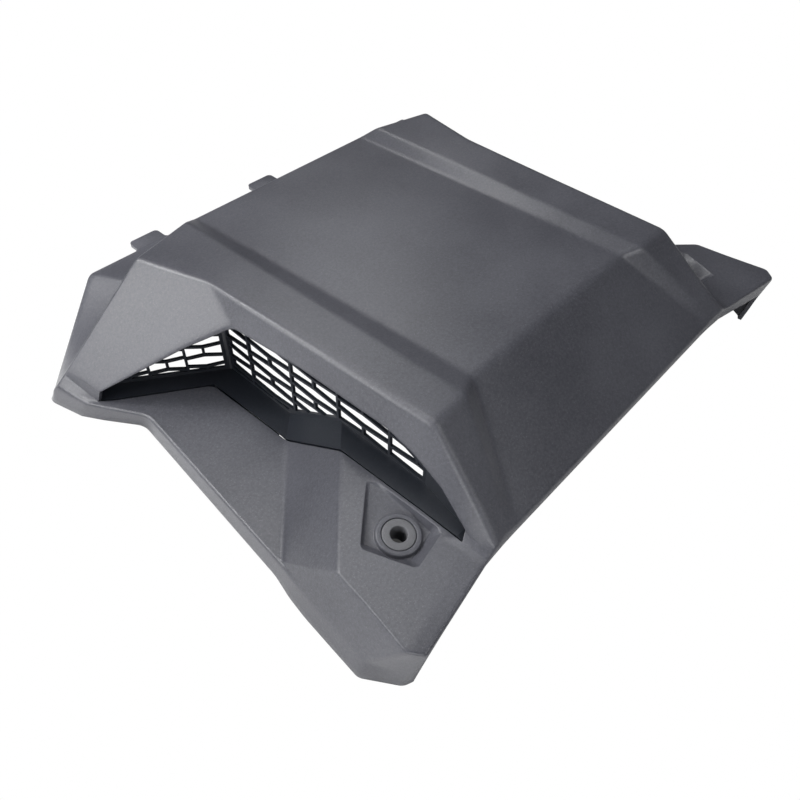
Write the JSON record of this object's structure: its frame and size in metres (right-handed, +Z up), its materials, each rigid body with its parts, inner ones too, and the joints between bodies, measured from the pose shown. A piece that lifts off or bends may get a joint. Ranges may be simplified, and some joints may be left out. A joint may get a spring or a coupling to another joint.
{
  "type": "bonnet scoop",
  "caption": "Thin moulded bonnet scoop with a ribbed hump, mesh side inlets, side aprons with fastener bushes and a rear flange with tongues.",
  "frame": {"origin": "centre of the plan outline, in the plane of the skirt's foot", "axes": "+Z up, -Y towards the front lip, X across, mirror-symmetric about YZ but for the tongues"},
  "size_m": [0.416, 0.3307, 0.089],
  "materials": {
    "cover_plastic": "fine mould grain, dark grey",
    "mesh_plastic": "plain satin black",
    "bush_plastic": "smooth dark grey"
  },
  "bodies": {
    "root": {"cover_shell": "cover_plastic", "grille_left": "mesh_plastic", "grille_right": "mesh_plastic", "bush_left": "bush_plastic", "bush_right": "bush_plastic"}
  },
  "joints": []
}
